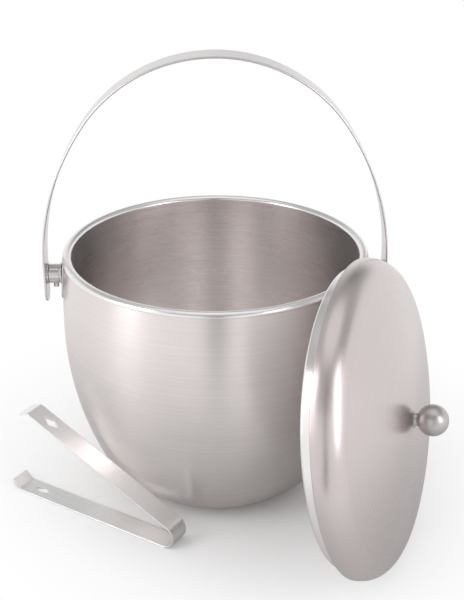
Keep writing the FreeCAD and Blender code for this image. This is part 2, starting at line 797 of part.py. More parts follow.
def make_tongs():
    """The lower arm lies flat on the surface. The upper arm is the same piece turned half round."""
    half_open = value("opening_angle / 2")
    place = tongs_place()
    bearing = Rotation(Vector(0, 0, 1), value("tongs_bearing"))
    lower = Placement(place, bearing)
    bisector = Placement(Vector(0, 0, 0), Rotation(Vector(0, 1, 0), -half_open))
    flip = Placement(Vector(0, 0, 0), Rotation(Vector(1, 0, 0), 180))
    make_tongs_arm("tongs_lower_arm", lower)
    make_tongs_arm("tongs_upper_arm", lower * bisector * flip * bisector.inverse())


# ---------------------------------------------------------------- build, check and write

make_outer_shell()
make_base_disc()
make_inner_liner()
make_lug_plate("right", Placement())
make_lug_plate("left", HALF_TURN)
make_lug_post("right")
make_lug_post("left")
pair("lug_nuts", make_lug_nut)
pair("set_screws", make_set_screw)
make_bail_strap()
pair("pivot_pins", make_pivot_pin)
pair("bail_washers", make_bail_washer)
make_lid_dome()
make_lid_pan()
make_knob()
make_tongs()

doc.recompute()
for item in doc.Objects:
    if "Invalid" in item.State or "Error" in item.State:
        raise RuntimeError(f"{item.Label} did not build: {item.State}")
for piece in NODES:
    if piece.Shape.isNull() or not piece.Shape.isValid():
        raise RuntimeError(f"{piece.Label} has no valid shape")

os.makedirs("parts", exist_ok=True)
for piece in NODES:
    piece.Shape.exportStep(f"parts/{piece.Label}.step")
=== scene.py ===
"""Looks of a double-walled steel ice bucket with its bail, lid and tongs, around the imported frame."""

import json

import bmesh
import bpy
import numpy as np
from mathutils import Matrix, Vector


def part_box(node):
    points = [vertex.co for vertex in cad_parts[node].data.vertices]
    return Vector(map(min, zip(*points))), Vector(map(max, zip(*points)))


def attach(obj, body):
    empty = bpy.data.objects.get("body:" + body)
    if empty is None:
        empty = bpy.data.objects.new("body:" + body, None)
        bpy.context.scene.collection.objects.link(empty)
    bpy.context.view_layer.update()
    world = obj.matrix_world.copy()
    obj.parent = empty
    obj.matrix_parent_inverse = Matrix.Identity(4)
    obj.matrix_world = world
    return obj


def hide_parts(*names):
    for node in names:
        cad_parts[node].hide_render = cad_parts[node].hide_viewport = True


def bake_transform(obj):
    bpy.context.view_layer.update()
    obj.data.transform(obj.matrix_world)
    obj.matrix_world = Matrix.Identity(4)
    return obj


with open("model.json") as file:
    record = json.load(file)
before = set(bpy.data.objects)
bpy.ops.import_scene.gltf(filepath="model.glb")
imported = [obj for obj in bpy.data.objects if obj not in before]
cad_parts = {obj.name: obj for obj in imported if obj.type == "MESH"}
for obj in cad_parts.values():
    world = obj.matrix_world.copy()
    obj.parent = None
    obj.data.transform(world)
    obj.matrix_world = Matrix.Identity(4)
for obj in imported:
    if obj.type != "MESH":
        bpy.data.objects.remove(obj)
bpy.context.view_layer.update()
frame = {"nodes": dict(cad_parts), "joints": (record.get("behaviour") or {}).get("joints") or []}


# ---------------------------------------------------------------- outer bowl
# The outer bowl is drawn from one disc of stainless steel and brushed while it turns, so fine
# lines run round it. Its foot is a small flat ring, and its mouth is drawn in a little.

MM = 0.001


def arc(centre, radius, start, end, steps):
    """Points on a circle from one angle to another, in degrees: centre + radius (cos, sin)."""
    angle = np.radians(np.linspace(start, end, steps))
    return np.asarray(centre) + radius * np.stack([np.cos(angle), np.sin(angle)], axis=-1)


def rounded(corners, radius, steps=5):
    """A closed outline with every corner turned into an arc. The arc's centre lies on the corner's
    bisector, radius / sin(half the corner's angle) away, and its points are spread evenly between
    the directions to its two tangent points."""
    corners = np.asarray(corners, float)
    back = np.roll(corners, 1, axis=0) - corners
    ahead = np.roll(corners, -1, axis=0) - corners
    back /= np.linalg.norm(back, axis=1, keepdims=True)
    ahead /= np.linalg.norm(ahead, axis=1, keepdims=True)
    half = np.arccos(np.clip((back * ahead).sum(1), -1, 1)) / 2
    bisector = (back + ahead) / np.linalg.norm(back + ahead, axis=1, keepdims=True)
    radius = np.broadcast_to(radius, half.shape)
    centre = corners + bisector * (radius / np.sin(half))[:, None]
    first = corners + back * (radius / np.tan(half))[:, None] - centre
    last = corners + ahead * (radius / np.tan(half))[:, None] - centre
    share = np.linspace(0, 1, steps)[None, :, None]
    spread = first[:, None] * (1 - share) + last[:, None] * share
    length = np.linalg.norm(spread, axis=2, keepdims=True)
    spread *= np.where(length > 0, radius[:, None, None] / np.maximum(length, 1e-12), 0)
    return (centre[:, None] + spread).reshape(-1, 2)


def skin(name, grid, grain, along, across, close_rows, close_columns):
    """A piece of four-sided faces over a grid of points (rows, columns, 3). The UV map "lines" has
    the share along the brush lines as U and the distance across them as V, for each face corner.
    The attribute "grain" is the place in the brush pattern, with its third axis across the lines."""
    rows, columns = grid.shape[:2]
    index = np.arange(rows * columns).reshape(rows, columns)
    row = np.arange(rows if close_rows else rows - 1)[:, None]
    column = np.arange(columns if close_columns else columns - 1)[None, :]
    corner = [(row, column), (row, column + 1), (row + 1, column + 1), (row + 1, column)]
    faces = np.stack([index[r % rows, c % columns] for r, c in corner], axis=-1).reshape(-1, 4)
    mesh = bpy.data.meshes.new(name)
    mesh.from_pydata(grid.reshape(-1, 3), [], faces)
    lines = np.stack([np.stack(np.broadcast_arrays(along[r, c], across[r, c]), axis=-1)
                      for r, c in corner], axis=2)
    mesh.uv_layers.new(name="lines").data.foreach_set("uv", lines.astype(np.float32).ravel())
    place = mesh.attributes.new("grain", "FLOAT_VECTOR", "POINT")
    place.data.foreach_set("vector", grain.reshape(-1, 3).astype(np.float32).ravel())
    return finish_mesh(name, mesh)


def finish_mesh(name, mesh):
    """Closes seams and poles and smooths the shading."""
    shell = bmesh.new()
    shell.from_mesh(mesh)
    bmesh.ops.remove_doubles(shell, verts=shell.verts, dist=1e-7)
    shell.to_mesh(mesh)
    shell.free()
    mesh.shade_smooth()
    piece = bpy.data.objects.new(name, mesh)
    bpy.context.scene.collection.objects.link(piece)
    return piece


def even_normals(piece):
    """Lets the wide faces set the normals, so that a flat stays flat up to its rounded edge."""
    piece.modifiers.new("even_normals", "WEIGHTED_NORMAL")
    return piece


def lathe(name, profile, place=Matrix.Identity(4), steps=256):
    """Turns a profile of radius and height about the Z axis: row i, column j of the grid is the
    profile's point i at the angle 2 pi j / steps. A profile whose ends are off the axis is a ring.
    A profile that runs clockwise, by the sign of its area, is turned round, so that the faces point
    outwards. The brush lines run round, and the distance across them is the length along the
    profile."""
    ring = profile[0, 0] > 1e-9 or profile[-1, 0] > 1e-9
    after = np.roll(profile, -1, axis=0)
    if (profile[:, 0] * after[:, 1] - after[:, 0] * profile[:, 1]).sum() < 0:
        profile = profile[::-1]
    angle = np.arange(steps) * 2 * np.pi / steps
    radius, height = profile[:, :1], profile[:, 1:]
    grid = np.stack(np.broadcast_arrays(radius * np.cos(angle), radius * np.sin(angle), height), axis=-1)
    walk = np.append(0, np.cumsum(np.linalg.norm(np.diff(profile, axis=0), axis=1)))
    walk = np.append(walk, walk[-1] + np.linalg.norm(profile[-1] - profile[0]))
    share = np.arange(steps + 1) / steps
    grain = np.stack(np.broadcast_arrays(grid[..., 0], grid[..., 1], walk[:-1, None]), axis=-1)
    turn = np.array(place.to_3x3())
    grid = grid @ turn.T + np.array(place.translation)
    across, along = np.broadcast_arrays(walk[:, None], share[None, :])
    return even_normals(skin(name, grid, grain, along, across, close_rows=ring, close_columns=True))


def new_group(name, inputs, outputs):
    """An empty shader node group with named sockets, each a name and a kind."""
    group = bpy.data.node_groups.new(name, "ShaderNodeTree")
    for label, kind in inputs:
        group.interface.new_socket(label, in_out="INPUT", socket_type=kind)
    for label, kind in outputs:
        group.interface.new_socket(label, in_out="OUTPUT", socket_type=kind)
    return group


def math(tree, operation, *values):
    """One Math node; each value is a number or a socket to link."""
    node = tree.nodes.new("ShaderNodeMath")
    node.operation = operation
    for socket, given in zip(node.inputs, values):
        if isinstance(given, (int, float)):
            socket.default_value = given
        else:
            tree.links.new(given, socket)
    return node.outputs[0]


def noise(tree, place, rates, detail):
    """A noise over a place that is first stretched along its three axes, by a rate for each."""
    stretched = tree.nodes.new("ShaderNodeVectorMath")
    stretched.operation = "MULTIPLY"
    tree.links.new(place, stretched.inputs[0])
    stretched.inputs[1].default_value = rates
    speckle = tree.nodes.new("ShaderNodeTexNoise")
    speckle.inputs["Scale"].default_value = 1.0
    speckle.inputs["Detail"].default_value = detail
    tree.links.new(stretched.outputs[0], speckle.inputs["Vector"])
    return speckle.outputs["Fac"]


def brush_group():
    """The marks of a brushing belt: fine and coarse lines that run far along the brush's way and
    change fast across it, and wide soft patches where the metal was wiped. Each output runs from
    0 to 1 about a middle of 0.5. The rates are changes per metre: along, along and across."""
    fine_rates, coarse_rates, patch_rates = (12, 12, 4200), (5, 5, 1300), (24, 24, 24)
    group = new_group(
        "brush_marks",
        [("Grain", "NodeSocketVector"), ("Place", "NodeSocketVector")],
        [("Fine", "NodeSocketFloat"), ("Coarse", "NodeSocketFloat"), ("Patches", "NodeSocketFloat")],
    )
    start = group.nodes.new("NodeGroupInput")
    end = group.nodes.new("NodeGroupOutput")
    fine = noise(group, start.outputs["Grain"], fine_rates, 1.0)
    coarse = noise(group, start.outputs["Grain"], coarse_rates, 1.0)
    patches = noise(group, start.outputs["Place"], patch_rates, 3.0)
    for source, target in zip((fine, coarse, patches), end.inputs):
        group.links.new(source, target)
    return group


BRUSH = brush_group()


def steel(name, colour, roughness, stretch, depth, streaks=0.05, wear=0.10):
    """A brushed metal. Stretch is how far its gloss is drawn out across the brush lines, depth is
    how deep the lines are, and streaks and wear are how much the marks change the colour and the
    roughness."""
    material = bpy.data.materials.new(name)
    material.use_nodes = True
    tree = material.node_tree
    shader = tree.nodes["Principled BSDF"]
    shader.inputs["Metallic"].default_value = 1.0
    shader.inputs["Anisotropic"].default_value = stretch
    shader.inputs["Anisotropic Rotation"].default_value = 0.25
    marks = tree.nodes.new("ShaderNodeGroup")
    marks.node_tree = BRUSH
    grain = tree.nodes.new("ShaderNodeAttribute")
    grain.attribute_name = "grain"
    tree.links.new(grain.outputs["Vector"], marks.inputs["Grain"])
    place = tree.nodes.new("ShaderNodeTexCoord")
    tree.links.new(place.outputs["Object"], marks.inputs["Place"])
    tangent = tree.nodes.new("ShaderNodeTangent")
    tangent.direction_type = "UV_MAP"
    tangent.uv_map = "lines"
    tree.links.new(tangent.outputs[0], shader.inputs["Tangent"])
    blend = tree.nodes.new("ShaderNodeMix")
    blend.data_type = "RGBA"
    blend.inputs["A"].default_value = (*(channel * (1 - streaks) for channel in colour), 1)
    blend.inputs["B"].default_value = (*(min(1, channel * (1 + streaks)) for channel in colour), 1)
    lined_shade = math(tree, "SUBTRACT", marks.outputs["Coarse"], 0.4)
    shade = math(tree, "MULTIPLY_ADD", marks.outputs["Patches"], 0.8, lined_shade)
    tree.links.new(shade, blend.inputs["Factor"])
    tree.links.new(blend.outputs["Result"], shader.inputs["Base Color"])
    patched = math(tree, "MULTIPLY_ADD", marks.outputs["Patches"], wear, roughness - wear)
    lined = math(tree, "MULTIPLY_ADD", marks.outputs["Fine"], wear, patched)
    tree.links.new(lined, shader.inputs["Roughness"])
    height = math(tree, "MULTIPLY_ADD", marks.outputs["Coarse"], 1.5, marks.outputs["Fine"])
    bump = tree.nodes.new("ShaderNodeBump")
    bump.inputs["Strength"].default_value = 1.0
    bump.inputs["Distance"].default_value = depth
    tree.links.new(height, bump.inputs["Height"])
    tree.links.new(bump.outputs[0], shader.inputs["Normal"])
    return material


def dress(piece, material, body, slot, *nodes):
    """Gives a piece its material and body, and hides the nodes that it stands for. The slot is not used."""
    piece.data.materials.append(material)
    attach(piece, body)
    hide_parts(*nodes)
    return piece


def tangent_arcs(flat_end, side_end, flat_radius):
    """Two arcs that meet smoothly, from a level start to an upright end: their centres lie in line
    with the joint. Gives both centres, the second radius and the joint's angle in degrees."""
    across, along = side_end[0] - flat_end[0], side_end[1] - flat_end[1]
    side_radius = (across**2 + (along - flat_radius) ** 2 - flat_radius**2) / (2 * (across - flat_radius))
    flat_centre = np.array([flat_end[0], flat_end[1] + flat_radius])
    side_centre = np.array([side_end[0] - side_radius, side_end[1]])
    angle = np.degrees(np.arctan2(*(flat_centre - side_centre)[::-1]))
    return flat_centre, side_centre, side_radius, angle


BELLY_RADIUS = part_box("outer_shell")[1].x
SHELL_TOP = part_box("outer_shell")[1].z
RIM_HEIGHT = SHELL_TOP - 1.5 * MM
BELLY_HEIGHT = RIM_HEIGHT - 50.8 * MM
DRAW_IN = 3.4 * MM
BASE_RADIUS = 44.5 * MM
FOOT_ROUND = 45.0 * MM
BASE_OPENING = 35.7 * MM
SHELL_WALL = 0.9 * MM

mouth_rise = SHELL_TOP - BELLY_HEIGHT
mouth_arc = (mouth_rise**2 + DRAW_IN**2) / (2 * DRAW_IN)
mouth_centre = np.array([BELLY_RADIUS - mouth_arc, BELLY_HEIGHT])
mouth_angle = np.degrees(np.arcsin(mouth_rise / mouth_arc))
foot, side, side_radius, joint_angle = tangent_arcs(
    (BASE_RADIUS, 0), (BELLY_RADIUS, BELLY_HEIGHT), FOOT_ROUND)


def bowl_wall(offset):
    """The wall from the foot to the mouth, moved inwards: foot arc, side arc and mouth arc."""
    return np.concatenate([
        arc(foot, FOOT_ROUND - offset, -90, joint_angle, 28),
        arc(side, side_radius - offset, joint_angle, 0, 30)[1:],
        arc(mouth_centre, mouth_arc - offset, 0, mouth_angle, 16)[1:],
    ])


edge = SHELL_WALL / 2
rim_centre = bowl_wall(edge)[-1]
opening_edge = arc((BASE_OPENING + edge, edge), edge, 90, 270, 7)
bowl_profile = np.concatenate([
    opening_edge,
    bowl_wall(0),
    arc(rim_centre, edge, mouth_angle, mouth_angle + 180, 7)[1:-1],
    bowl_wall(SHELL_WALL)[::-1],
])
bowl_steel = steel("bowl_steel", (0.80, 0.745, 0.73), roughness=0.34, stretch=0.75, depth=0.010 * MM,
                   streaks=0.07)
dress(lathe("outer_bowl", bowl_profile), bowl_steel, "bucket", "bowl", "outer_shell")


# ---------------------------------------------------------------- base disc
# A flat disc of the same sheet closes the bowl's base. It laps the ledge inside, is welded to it
# and lies flush below, so the CAD disc stays and takes a turned finish.


def plain_steel(name, colour, roughness, wear):
    """A metal material for pieces that keep their own faces: fine isotropic marks and patches."""
    material = bpy.data.materials.new(name)
    material.use_nodes = True
    tree = material.node_tree
    shader = tree.nodes["Principled BSDF"]
    shader.inputs["Metallic"].default_value = 1.0
    place = tree.nodes.new("ShaderNodeTexCoord")
    marks = tree.nodes.new("ShaderNodeGroup")
    marks.node_tree = BRUSH
    tree.links.new(place.outputs["Object"], marks.inputs["Grain"])
    tree.links.new(place.outputs["Object"], marks.inputs["Place"])
    blend = tree.nodes.new("ShaderNodeMix")
    blend.data_type = "RGBA"
    blend.inputs["A"].default_value = (*(channel * 0.92 for channel in colour), 1)
    blend.inputs["B"].default_value = (*colour, 1)
    tree.links.new(marks.outputs["Patches"], blend.inputs["Factor"])
    tree.links.new(blend.outputs["Result"], shader.inputs["Base Color"])
    rough = math(tree, "MULTIPLY_ADD", marks.outputs["Patches"], wear, roughness - wear / 2)
    tree.links.new(rough, shader.inputs["Roughness"])
    bump = tree.nodes.new("ShaderNodeBump")
    bump.inputs["Distance"].default_value = 0.004 * MM
    tree.links.new(marks.outputs["Fine"], bump.inputs["Height"])
    tree.links.new(bump.outputs[0], shader.inputs["Normal"])
    return material


def keep(node, material):
    """A CAD node that stays: its faces are right, and it only takes a material."""
    piece = frame["nodes"][node]
    piece.data.materials.clear()
    piece.data.materials.append(material)


keep("base_disc", plain_steel("base_steel", (0.66, 0.62, 0.61), 0.38, 0.12))


# ---------------------------------------------------------------- inner liner and lip
# The liner is a second drawn bowl. Its edge is rolled out over the outer bowl's mouth into a
# polished lip, and its inside is brushed round like the outside.

AIR_GAP = 3.9 * MM
LINER_RADIUS = BELLY_RADIUS - DRAW_IN - SHELL_WALL - AIR_GAP
LINER_WALL = 0.8 * MM
LINER_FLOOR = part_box("inner_liner")[0].z + LINER_WALL
LINER_FLAT = BASE_RADIUS - 6.5 * MM
LINER_ROUND = FOOT_ROUND + 3.0 * MM
LIP_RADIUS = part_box("inner_liner")[1].x
LIP_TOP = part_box("inner_liner")[1].z
LIP_FOOT = RIM_HEIGHT + 1.0 * MM
CURL_RADIUS = BELLY_RADIUS - DRAW_IN + 0.25 * MM
FLAT_INSIDE = 4.0 * MM

liner_foot, liner_side, liner_side_radius, liner_angle = tangent_arcs(
    (LINER_FLAT, LINER_FLOOR), (LINER_RADIUS, BELLY_HEIGHT), LINER_ROUND)


def liner_wall(offset):
    """The liner from its middle to the lip's foot, moved outwards."""
    return np.concatenate([
        [[0, LINER_FLOOR - offset]],
        np.stack([np.linspace(FLAT_INSIDE, LINER_FLAT, 12), np.full(12, LINER_FLOOR - offset)], axis=-1),
        arc(liner_foot, LINER_ROUND + offset, -90, liner_angle, 24)[1:],
        arc(liner_side, liner_side_radius + offset, liner_angle, 0, 30)[1:],
        np.stack([np.full(9, LINER_RADIUS + offset), np.linspace(BELLY_HEIGHT, LIP_FOOT, 10)[1:]], axis=-1),
    ])


def roll(inner, outer, crown):
    """The arc over the lip, from its inner foot to its outer one, that rises by its crown."""
    half = (outer - inner) / 2
    radius = (half**2 + crown**2) / (2 * crown)
    lean = np.degrees(np.arcsin(half / radius))
    return arc((inner + half, LIP_FOOT + crown - radius), radius, 90 + lean, 90 - lean, 15)


skirt = arc((LIP_RADIUS - LINER_WALL / 2, RIM_HEIGHT + LINER_WALL / 2), LINER_WALL / 2, 0, -90, 5)
curl = arc((CURL_RADIUS + LINER_WALL / 2, RIM_HEIGHT + LINER_WALL / 2), LINER_WALL / 2, -90, -270, 9)
liner_profile = np.concatenate([
    liner_wall(0),
    roll(LINER_RADIUS, LIP_RADIUS, LIP_TOP - LIP_FOOT)[1:],
    skirt,
    curl,
    [[LIP_RADIUS - LINER_WALL, RIM_HEIGHT + LINER_WALL]],
    roll(LINER_RADIUS + LINER_WALL, LIP_RADIUS - LINER_WALL, LIP_TOP - LIP_FOOT - LINER_WALL)[::-1],
    liner_wall(LINER_WALL)[:-1][::-1],
])
liner_steel = steel("liner_steel", (0.84, 0.80, 0.79), roughness=0.28, stretch=0.6, depth=0.0012 * MM)
liner = dress(lathe("liner_and_lip", liner_profile), liner_steel, "bucket", "liner", "inner_liner")
lip_steel = steel("lip_steel", (0.86, 0.845, 0.84), roughness=0.25, stretch=0.2, depth=0.001 * MM,
                  streaks=0.02)
liner.data.materials.append(lip_steel)
middles = np.empty(len(liner.data.polygons) * 3)
liner.data.polygons.foreach_get("center", middles)
on_lip = middles.reshape(-1, 3)[:, 2] > RIM_HEIGHT - 0.5 * MM
liner.data.polygons.foreach_set("material_index", on_lip.astype(np.int32))


# ---------------------------------------------------------------- lugs
# Each lug is a polished post that is screwed through a curved plate and the bowl to a nut in the
# air gap. A set screw from below keeps the bail's pin in its bore.

joints = {joint["name"]: joint for joint in frame["joints"]}
PIVOT_HEIGHT = joints["bail_swing"]["pos_m"][2]
PLATE_WALL = 1.2 * MM
SEAT_GAP = 0.05 * MM
PLATE_UP, PLATE_DOWN, PLATE_WIDTH, PLATE_EDGE = 10.0 * MM, 17.0 * MM, 15.0 * MM, 0.5 * MM
POST_RADIUS, POST_REACH, BORE_DEPTH = 6.75 * MM, 8.9 * MM, 6.6 * MM
FLANGE_RADIUS, FLANGE, GROOVE, GROOVE_DEPTH = 7.5 * MM, 1.1 * MM, 0.65 * MM, 0.5 * MM
STUD_RADIUS, PIN_RADIUS = 2.5 * MM, 3.0 * MM
SCREW_OUT, SCREW_RADIUS, SCREW_HEAD_RADIUS, SCREW_HEAD = 4.2 * MM, 1.3 * MM, 1.9 * MM, 3.0 * MM
SOCKET_RADIUS, SOCKET_FLOOR, SOCKET_DEPTH = 0.9 * MM, 0.75 * MM, 1.2 * MM


def wall_radius(height, offset):
    """The bowl's radius above the belly, moved inwards: the mouth arc's reach at that height."""
    return mouth_centre[0] + np.sqrt((mouth_arc - offset) ** 2 - (height - BELLY_HEIGHT) ** 2)


PLATE_FACE = wall_radius(PIVOT_HEIGHT, -(SEAT_GAP + PLATE_WALL))


def lug_place(side):
    """The frame of a lug: its Z axis points out along the pivot, its X axis down."""
    axes = Matrix(((0, 0, side), (0, side, 0), (-1, 0, 0))).to_4x4()
    axes.translation = (side * PLATE_FACE, 0, PIVOT_HEIGHT)
    return axes


def lug_plate(name, side):
    """A rounded rectangle wrapped onto the wall. Its outline is a superellipse: the fifth powers of
    the shares of its half width and half height add up to one. Rings of the outline shrink to the
    middle of the face and of the back, and the edge is rolled over by a quarter circle."""
    height = (PLATE_UP + PLATE_DOWN) / 2
    middle = PIVOT_HEIGHT + (PLATE_UP - PLATE_DOWN) / 2
    half = PLATE_WIDTH / 2
    turn = np.linspace(0, 2 * np.pi, 96, endpoint=False)
    power = 2 / 5
    shape = np.stack([np.sign(np.cos(turn)) * np.abs(np.cos(turn)) ** power * half,
                      np.sign(np.sin(turn)) * np.abs(np.sin(turn)) ** power * height], axis=-1)
    rolled = np.linspace(0, np.pi / 2, 6)
    shrink = np.concatenate([np.linspace(0, 0.9, 8), 1 - PLATE_EDGE / half * (1 - np.sin(rolled))])
    lift = np.concatenate([np.full(8, PLATE_WALL), PLATE_WALL - PLATE_EDGE * (1 - np.cos(rolled))])
    shrink, lift = np.append(shrink, [1, 0.6, 0]), np.append(lift, [0, 0, 0])
    flat = shrink[:, None, None] * shape[None]
    up = middle + flat[..., 1]
    reach = wall_radius(up, -(SEAT_GAP + lift[:, None]))
    bearing = flat[..., 0] / BELLY_RADIUS
    grid = np.stack([side * reach * np.cos(bearing), side * reach * np.sin(bearing), up], axis=-1)
    grain = np.stack([flat[..., 0], np.zeros_like(up), up], axis=-1)
    along = np.broadcast_to(np.arange(97) / 96, (len(shrink), 97))
    across = np.broadcast_to(shrink[:, None] * half, (len(shrink), 97))
    return even_normals(
        skin(name, grid[::-1], grain[::-1], along, across[::-1], close_rows=False, close_columns=True))


def lug_post():
    """Stud, flange, groove, barrel with softened edges, and the bore for the pin. The flange's back
    is sunk in the plate, which follows the round wall."""
    stud_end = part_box("lug_post_right")[0].x - PLATE_FACE
    flange_back = -PLATE_WALL * 0.9
    bore = PIN_RADIUS + 0.05 * MM
    corners = [
        (0, stud_end), (STUD_RADIUS, stud_end), (STUD_RADIUS, flange_back),
        (FLANGE_RADIUS, 0), (FLANGE_RADIUS, FLANGE), (POST_RADIUS - GROOVE_DEPTH, FLANGE + 0.05 * MM),
        (POST_RADIUS - GROOVE_DEPTH, FLANGE + GROOVE), (POST_RADIUS, FLANGE + GROOVE + 0.15 * MM),
        (POST_RADIUS, POST_REACH), (bore, POST_REACH),
        (bore, POST_REACH - BORE_DEPTH), (0, POST_REACH - BORE_DEPTH),
    ]
    soften = np.array([0, 0.2, 0.1, 0.25, 0.3, 0.12, 0.12, 0.2, 0.55, 0.25, 0.1, 0]) * MM
    return rounded(corners, soften)


def set_screw():
    """The set screw below the post: a thread into the bore, and a head with a dished socket."""
    tip = PIN_RADIUS - 0.5 * MM
    head = POST_RADIUS + SEAT_GAP
    corners = [
        (0, tip), (SCREW_RADIUS - 0.03 * MM, tip), (SCREW_RADIUS - 0.03 * MM, head),
        (SCREW_HEAD_RADIUS, head), (SCREW_HEAD_RADIUS, head + SCREW_HEAD - SEAT_GAP),
        (SOCKET_RADIUS, head + SCREW_HEAD - SEAT_GAP), (SOCKET_FLOOR, head + SCREW_HEAD - SOCKET_DEPTH),
        (0, head + SCREW_HEAD - SOCKET_DEPTH),
    ]
    return rounded(corners, np.array([0, 0.1, 0.1, 0.15, 0.35, 0.15, 0.1, 0]) * MM)


CHROME = (0.66, 0.64, 0.635)
lug_steel = steel("lug_steel", CHROME, roughness=0.13, stretch=0.3, depth=0.003 * MM, streaks=0.03)
plate_steel = steel("plate_steel", CHROME, roughness=0.22, stretch=0.3, depth=0.004 * MM)
fastener_steel = plain_steel("fastener_steel", (0.62, 0.60, 0.59), 0.28, 0.10)
# A quarter turn that lays the screw's axis along the lug's X axis, which points down.
down_turn = Matrix(((0, 0, 1), (0, 1, 0), (-1, 0, 0))).to_4x4()
for word, sign in (("left", -1), ("right", 1)):
    lug = lug_place(sign)
    dress(lug_plate("plate_" + word, sign), plate_steel, "bucket", "lug", "lug_plate_" + word)
    dress(lathe("post_" + word, lug_post(), lug, 96), lug_steel, "bucket", "lug", "lug_post_" + word)
    screw_place = lug @ Matrix.Translation((0, 0, POST_REACH - SCREW_OUT)) @ down_turn
    screw = lathe("set_screw_" + word, set_screw(), screw_place, 48)
    dress(screw, lug_steel, "bucket", "fastener", "set_screws")
keep("lug_nuts", fastener_steel)


# ---------------------------------------------------------------- bail
# The bail is a flat strap, bent to a round crown with long sides, with rounded edges and tails,
# polished and then brushed along its length. A pin is riveted in each tail, over a thick washer.

STRAP_OUT = 117.4 * MM
STRAP_THICKNESS = 1.5 * MM
STRAP_WIDTH = 20.0 * MM
STRAP_EDGE = 0.65 * MM
BAIL_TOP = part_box("bail_strap")[1].z - STRAP_THICKNESS / 2
BAIL_STRAIGHT = PIVOT_HEIGHT + 8.0 * MM
TAIL_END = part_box("bail_strap")[0].z
CROWN_RADIUS = STRAP_OUT - 12.4 * MM
PIN_GROOVE, PIN_GROOVE_DEPTH, PIN_HEAD_ROUND, PIN_HEAD_RISE = 3.2 * MM, 0.7 * MM, 8.3 * MM, 0.3 * MM
WASHER_RADIUS = 7.25 * MM


def strap_path():
    """The strap's middle line from the left tail's tip to the right one: a straight tail, a side
    arc, half of the crown arc, and the same mirrored. Gives points, outward normals and lengths."""
    flat_centre, side_centre, radius, angle = tangent_arcs((0, -BAIL_TOP), (STRAP_OUT, -BAIL_STRAIGHT),
                                                           CROWN_RADIUS)
    round_end = STRAP_WIDTH / 2 * (1 - np.cos(np.linspace(0, np.pi / 2, 14)))
    tail = TAIL_END + np.append(round_end, np.linspace(STRAP_WIDTH / 2, BAIL_STRAIGHT - TAIL_END, 12)[1:])
    rise = np.radians(np.concatenate([np.zeros(len(tail)), np.linspace(0, -angle, 60)[1:],
                                      np.linspace(-angle, 90, 60)[1:]]))
    first, second = len(tail), len(tail) + 59
    radii = np.where(np.arange(len(rise)) < second, radius, CROWN_RADIUS)
    middles = np.where(np.arange(len(rise))[:, None] < second, side_centre * (1, -1), flat_centre * (1, -1))
    normal = np.stack([np.cos(rise), np.sin(rise)], axis=-1)
    point = middles + radii[:, None] * normal
    point[:first, 1] = tail
    whole = np.concatenate([point * (-1, 1), point[::-1][1:]])
    normals = np.concatenate([normal * (-1, 1), normal[::-1][1:]])
    walk = np.append(0, np.cumsum(np.linalg.norm(np.diff(whole, axis=0), axis=1)))
    return whole, normals, walk


def strap_section(width, thickness, soften, across):
    """A flat section with rounded edges: corners as arcs, and extra points along its wide sides.
    The first column is the offset across the strap, the second its offset outwards."""
    shape = rounded([(-width / 2, -thickness / 2), (width / 2, -thickness / 2),
                     (width / 2, thickness / 2), (-width / 2, thickness / 2)], soften, 6)
    inner = np.stack([np.linspace(-width / 2 + 2 * soften, width / 2 - 2 * soften, across),
                      np.full(across, -thickness / 2)], axis=-1)
    return np.concatenate([shape[:6], inner, shape[6:18], -inner, shape[18:]])


def strap_grid():
    """Carries the section along the path. At the tails the width is scaled by the root of
    1 - (1 - distance from the tip / half width)^2, which rounds them."""
    path, normals, walk = strap_path()
    section = strap_section(STRAP_WIDTH, STRAP_THICKNESS, STRAP_EDGE, 9)
    from_tip = np.minimum(walk, walk[-1] - walk)
    width = np.sqrt(1 - np.clip(1 - from_tip / (STRAP_WIDTH / 2), 0, 1) ** 2)
    out = section[None, :, 1]
    grid = np.stack([path[:, :1] + normals[:, :1] * out, width[:, None] * section[None, :, 0],
                     path[:, 1:] + normals[:, 1:] * out], axis=-1)
    grain = np.stack(np.broadcast_arrays(walk[:, None], out, grid[..., 1]), axis=-1)
    around = np.append(0, np.cumsum(np.linalg.norm(np.roll(section, -1, axis=0) - section, axis=1)))
    along, across = np.broadcast_arrays(walk[:, None], around[None, :])
    return grid, grain, along, across


def pivot_pin():
    """The pin: a shank with a groove for the set screw, and a low riveted head on the strap."""
    outside = STRAP_OUT + STRAP_THICKNESS / 2 - PLATE_FACE
    below = POST_REACH - SCREW_OUT - PIN_GROOVE / 2
    above = POST_REACH - SCREW_OUT + PIN_GROOVE / 2
    waist = PIN_RADIUS - PIN_GROOVE_DEPTH
    end = POST_REACH - BORE_DEPTH + 0.3 * MM
    top = outside - 0.2 * MM
    head = arc((0, outside + PIN_HEAD_RISE - PIN_HEAD_ROUND), PIN_HEAD_ROUND, 66, 90, 7)
    shank = rounded([(0, end), (PIN_RADIUS, end), (PIN_RADIUS, below), (waist, below), (waist, above),
                     (PIN_RADIUS, above), (PIN_RADIUS, top), (0, top)],
                    np.array([0, 0.4, 0.1, 0.1, 0.1, 0.1, 0, 0]) * MM)[:-5]
    return np.concatenate([shank, head])


def bail_washer():
    """The washer between the post and the strap, with softened edges."""
    low, high = POST_REACH + 0.1 * MM, STRAP_OUT - STRAP_THICKNESS / 2 - PLATE_FACE
    bore = PIN_RADIUS + SEAT_GAP
    return rounded([(bore, low), (WASHER_RADIUS, low), (WASHER_RADIUS, high), (bore, high)], 0.25 * MM)


